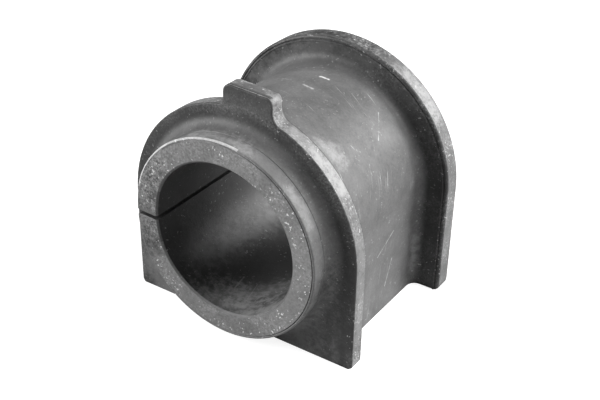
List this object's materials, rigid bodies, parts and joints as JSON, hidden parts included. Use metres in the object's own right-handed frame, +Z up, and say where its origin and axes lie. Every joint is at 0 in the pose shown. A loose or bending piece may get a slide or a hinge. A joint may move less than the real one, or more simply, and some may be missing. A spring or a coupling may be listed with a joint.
{
  "type": "stabiliser bar bush",
  "caption": "One-piece moulded rubber bush with a D-shaped body, a through bore slit on one side, a flange at each end, a locating tab and a front collar.",
  "frame": {"origin": "on the bore's axis, half way along the bush", "axes": "+Y runs along the bore from the collar end to the rear flange, +Z is up from the flat seat, and the slit is on the -X side"},
  "size_m": [0.0514, 0.0406, 0.0491],
  "materials": {
    "rubber": "matt moulded rubber with a dusty bloom"
  },
  "bodies": {
    "root": {"bush": "rubber"}
  },
  "joints": []
}
